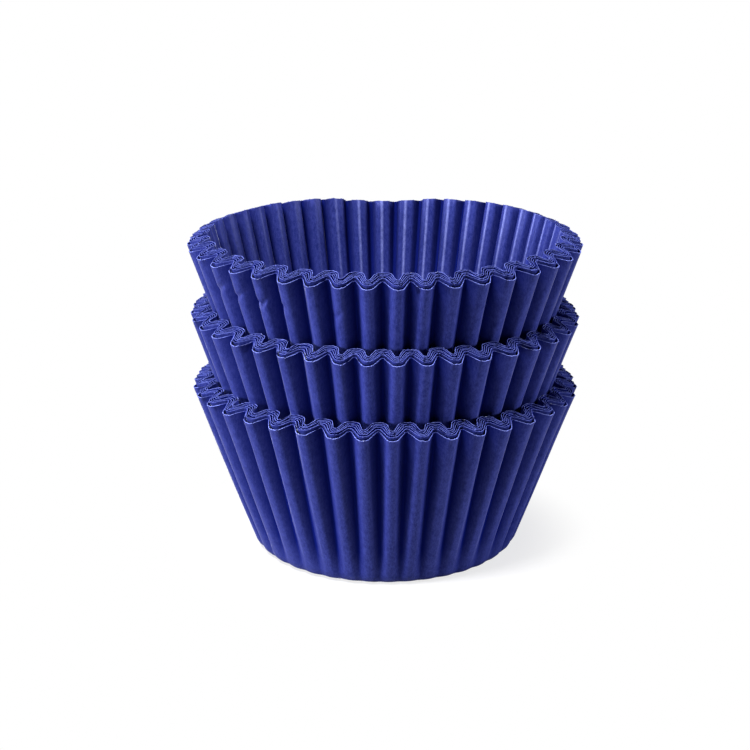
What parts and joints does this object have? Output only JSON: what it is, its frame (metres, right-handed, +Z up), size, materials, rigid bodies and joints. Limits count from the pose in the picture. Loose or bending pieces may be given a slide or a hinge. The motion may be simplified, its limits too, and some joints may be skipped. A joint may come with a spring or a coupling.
{
  "type": "stack of cupcake liners",
  "caption": "Stack of pleated paper cupcake liners: flat-based round cups with fluted, flaring walls, nested in bundles that stand one in another.",
  "frame": {"origin": "centre of the lowest liner's flat base, on the surface that the stack stands on", "axes": "+Z up along the liners' common axis; -Y is the side that the picture shows"},
  "size_m": [0.074, 0.0738, 0.0618],
  "materials": {
    "blue_paper": "matt deep-blue greaseproof paper with a fine fibre grain and a paler cut edge"
  },
  "bodies": {
    "root": {"bottom_liner_1": "blue_paper", "bottom_liner_2": "blue_paper", "bottom_liner_3": "blue_paper", "bottom_liner_4": "blue_paper", "bottom_liner_5": "blue_paper", "bottom_liner_6": "blue_paper", "middle_liner_1": "blue_paper", "middle_liner_2": "blue_paper", "middle_liner_3": "blue_paper", "middle_liner_4": "blue_paper", "middle_liner_5": "blue_paper", "middle_liner_6": "blue_paper", "top_liner_1": "blue_paper", "top_liner_2": "blue_paper", "top_liner_3": "blue_paper", "top_liner_4": "blue_paper", "top_liner_5": "blue_paper", "top_liner_6": "blue_paper"}
  },
  "joints": []
}
